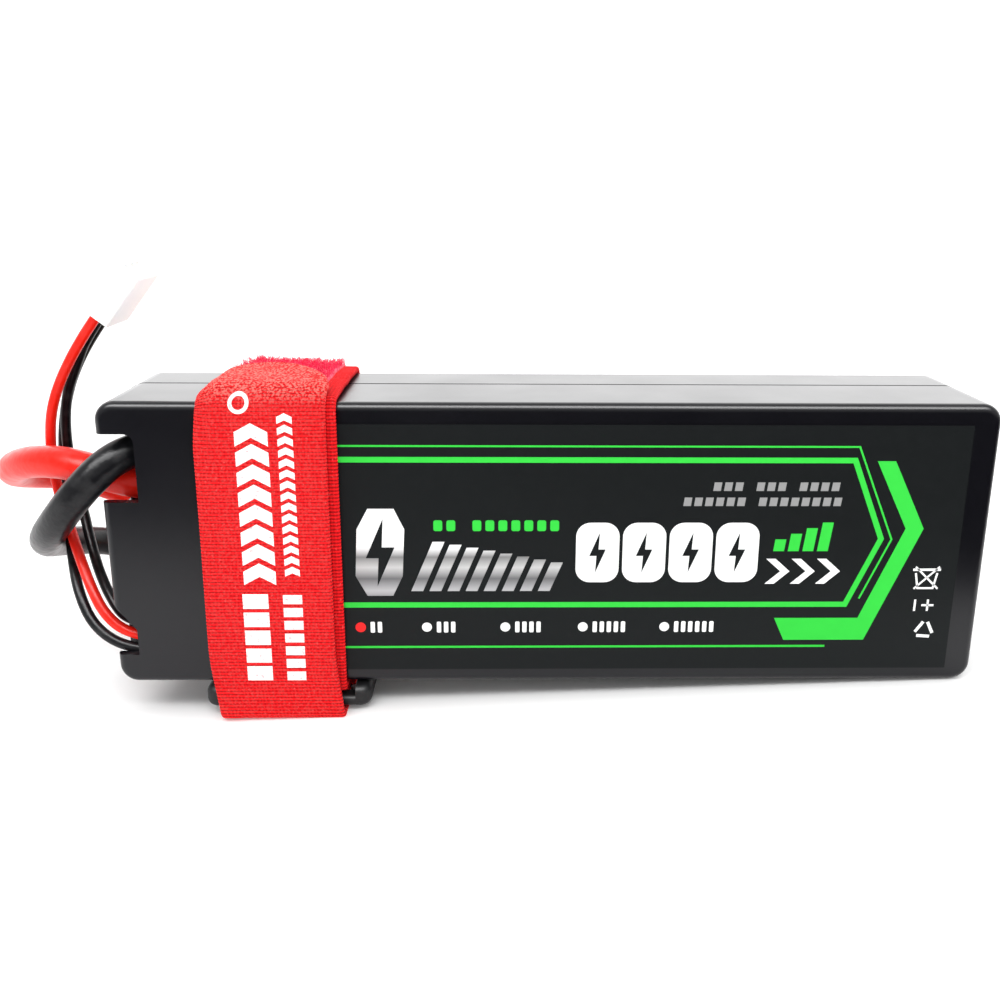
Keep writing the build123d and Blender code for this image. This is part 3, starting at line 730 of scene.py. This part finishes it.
loops = 5200
random = np.random.default_rng(7)
step_at = random.uniform(0, len(pile_place) - 1, loops)
across = random.uniform(-0.98, 0.98, loops) * pile_half
root_yz, out_yz = [np.stack([np.interp(step_at, np.arange(len(pile_place)), values[:, axis])
                             for axis in (0, 1)], axis=1) for values in (pile_place, pile_out)]
up = np.column_stack([random.normal(0, 0.25, loops), out_yz + random.normal(0, 0.2, (loops, 2))])
up /= np.linalg.norm(up, axis=1)[:, None]
side = np.cross(up, random.normal(0, 1, (loops, 3)))
side /= np.linalg.norm(side, axis=1)[:, None]
root = np.column_stack([wrap_x + across, root_yz + out_yz * 0.25 * mm])
root[:, 2] -= sag(root[:, 0], root_yz[:, 0], root_yz[:, 1])
under_tail = (root[:, 1] < -12 * mm) | ((root[:, 1] < -4 * mm) & (np.abs(root[:, 0] - tail_x) < 9 * mm))
short, tall = random.uniform(0.2, 0.4, loops), random.uniform(0.6, 1.45, loops)
height = np.where(under_tail, short, tall + 0.35 * (across < -4 * mm)) * mm
fibres("strap_pile_loops", root, up, side, (0, math.pi), random.uniform(0.18, 0.45, loops) * mm, height,
       0.05 * mm, pile_finish.material, "strap")

hook_finish = moulded("strap_hooks", (0.7, 0.012, 0.02), 0.45, 3.0, 0.01)
dress(hook_finish, "strap_hook_patch")
hook_low, hook_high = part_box("strap_hook_patch")
hook_x, hook_z = np.meshgrid(np.arange(hook_low[0] + 0.6 * mm, hook_high[0] - 0.4 * mm, 0.75 * mm),
                             np.arange(hook_low[2] + 0.6 * mm, hook_high[2] - 0.4 * mm, 0.9 * mm))
hooks = hook_x.size
hook_root = np.stack([hook_x.ravel(), np.full(hooks, hook_high[1] - 0.04 * mm), hook_z.ravel()], axis=1)
fibres("strap_hooks", hook_root, np.tile([0.0, 1.0, 0.0], (hooks, 1)),
       np.tile([0.0, 0.0, 1.0], (hooks, 1)), (0, 0.8 * math.pi), np.full(hooks, 0.2 * mm),
       np.full(hooks, 0.3 * mm), 0.07 * mm, hook_finish, "tail")


# ------------------------------------------------------------------ stitches and buckle
# Bar tacks of thick polyester thread hold the strap's start round the rear bar of the buckle,
# a moulded black ring with two thick side bars.

stitch_low, stitch_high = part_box("strap_stitches")
tacks = 9
tack_x = np.tile(np.linspace(stitch_low[0] + 0.7 * mm, stitch_high[0] - 0.7 * mm, tacks), 2)
tack_y = np.repeat([stitch_low[1] + 0.2 * mm, stitch_high[1] - 0.2 * mm], tacks)
tack_root = np.stack([tack_x, tack_y, np.full(2 * tacks, stitch_high[2] + 0.05 * mm)], axis=1)
thread = plain("strap_thread", (0.72, 0.01, 0.015), 0.7, 0.0, 4.0, 0.03)
stitches = fibres("strap_bar_tacks", tack_root, np.tile([0.0, 0.0, -1.0], (2 * tacks, 1)),
                  np.tile([1.0, 0.0, 0.0], (2 * tacks, 1)), (0, math.pi), np.full(2 * tacks, 0.8 * mm),
                  np.full(2 * tacks, 0.22 * mm), 0.16 * mm, thread, "strap")
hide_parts("strap_stitches")

dress(moulded("buckle_plastic", (0.004, 0.004, 0.005), 0.48, 3.0, 0.006, Specular_IOR_Level=0.35),
      "strap_buckle")


# ------------------------------------------------------------------ floor, lights and camera
# A white floor that the pack leans on between its buckle and its far lower edge, glowing a little in
# front of the pack; a pale room that is brighter behind it; two soft lights above the front, one of
# them for gloss alone; and a black card in front, seen only in reflections.

far_edge, near_edge, far_drop = 70.2 * mm, -45.0 * mm, 5.2 * mm
slope = far_drop / (far_edge - near_edge)
reach = 4.0
corners = [(sx * reach, sy * reach, (sx * reach - near_edge) * slope - 0.02 * mm)
           for sx, sy in ((-1, -1), (1, -1), (1, 1), (-1, 1))]
floor_mesh = bpy.data.meshes.new("floor")
floor_mesh.from_pydata(corners, [], [(0, 1, 2, 3)])
floor = bpy.data.objects.new("floor", floor_mesh)
bpy.context.scene.collection.objects.link(floor)
paper = Finish("floor_paper", Specular_IOR_Level=0.1)
before = paper.split(paper.point())[1] * -1.0
lit = paper.fade((before - 8.0) / 40.0, 0.05, 0.3)
paper.set(Base_Color=paper.mix(paper.noise(0.02, 3), (0.9, 0.9, 0.9), (0.93, 0.93, 0.93)), Roughness=0.8,
          Emission_Color=lit, Emission_Strength=0.45)
floor_mesh.materials.append(paper.material)

card_mesh = bpy.data.meshes.new("black_card")
card_near, card_skew, card_far, card_side = -0.066, 0.28, -1.2, 1.2
card_right, card_left = card_near + card_skew * card_side, card_near - card_skew * card_side
card_mesh.from_pydata([(sx * card_side, y, (sx * card_side - near_edge) * slope + 2 * mm)
                       for sx, y in ((-1, card_far), (1, card_far), (1, card_right), (-1, card_left))],
                      [], [(0, 1, 2, 3)])
card = bpy.data.objects.new("black_card", card_mesh)
bpy.context.scene.collection.objects.link(card)
card_mesh.materials.append(Finish("black_card", Base_Color=(0.004, 0.004, 0.004, 1), Roughness=1.0,
                                  Specular_IOR_Level=0.0).material)
card.visible_camera = card.visible_diffuse = card.visible_shadow = card.visible_transmission = False

front_strength, back_strength = 0.72, 2.9
world = bpy.data.worlds.new("room")
world.use_nodes = True
bpy.context.scene.world = world
tree = world.node_tree
way = tree.nodes.new("ShaderNodeTexCoord").outputs["Generated"]
parts = tree.nodes.new("ShaderNodeSeparateXYZ")
tree.links.new(way, parts.inputs[0])
glow = tree.nodes.new("ShaderNodeMapRange")
glow.interpolation_type = "SMOOTHSTEP"
for socket, value in zip(glow.inputs[1:5], (0.0, 0.9, front_strength, back_strength)):
    socket.default_value = value
tree.links.new(parts.outputs[1], glow.inputs[0])
tree.links.new(glow.outputs[0], tree.nodes["Background"].inputs["Strength"])
tree.nodes["Background"].inputs["Color"].default_value = (1, 1, 1, 1)


def soft_light(name, place, aim, width, height, watts):
    """A softbox at a place that faces a point."""
    light = bpy.data.lights.new(name, "AREA")
    light.shape = "RECTANGLE"
    light.size, light.size_y, light.energy = width, height, watts
    lamp = bpy.data.objects.new(name, light)
    bpy.context.scene.collection.objects.link(lamp)
    back = np.array(place) - np.array(aim)
    back = back / np.linalg.norm(back)
    right = np.cross((0.0, 0.0, 1.0), back)
    right /= np.linalg.norm(right)
    turn = np.eye(4)
    turn[:3, 0], turn[:3, 1], turn[:3, 2], turn[:3, 3] = right, np.cross(back, right), back, place
    lamp.matrix_world = Matrix(turn.tolist())
    return lamp


gloss_light = soft_light("gloss_light", (0.0, -0.42, 0.62), (0.0, 0.0, 0.05), 1.2, 0.35, 16.0)
gloss_light.visible_diffuse = False
soft_light("key_light", (-0.1, -0.45, 0.75), (0.0, 0.0, 0.03), 1.3, 0.2, 5.5)

scene = bpy.context.scene
scene.view_settings.view_transform = "Standard"
lens = bpy.data.cameras.new("camera")
lens.lens, lens.clip_start = 35.49, 5 * mm
lens.shift_x, lens.shift_y = -0.0234, -0.0585
camera = bpy.data.objects.new("camera", lens)
scene.collection.objects.link(camera)
pitch, yaw, roll = math.radians(14.82), math.radians(1.36), math.radians(0.47)
camera_place = Matrix.Translation((-8.0 * mm, -159.8 * mm, 85.2 * mm))
camera.matrix_world = (camera_place @ Matrix.Rotation(-yaw, 4, "Z")
                       @ Matrix.Rotation(math.pi / 2 - pitch, 4, "X") @ Matrix.Rotation(roll, 4, "Z"))
scene.camera = camera
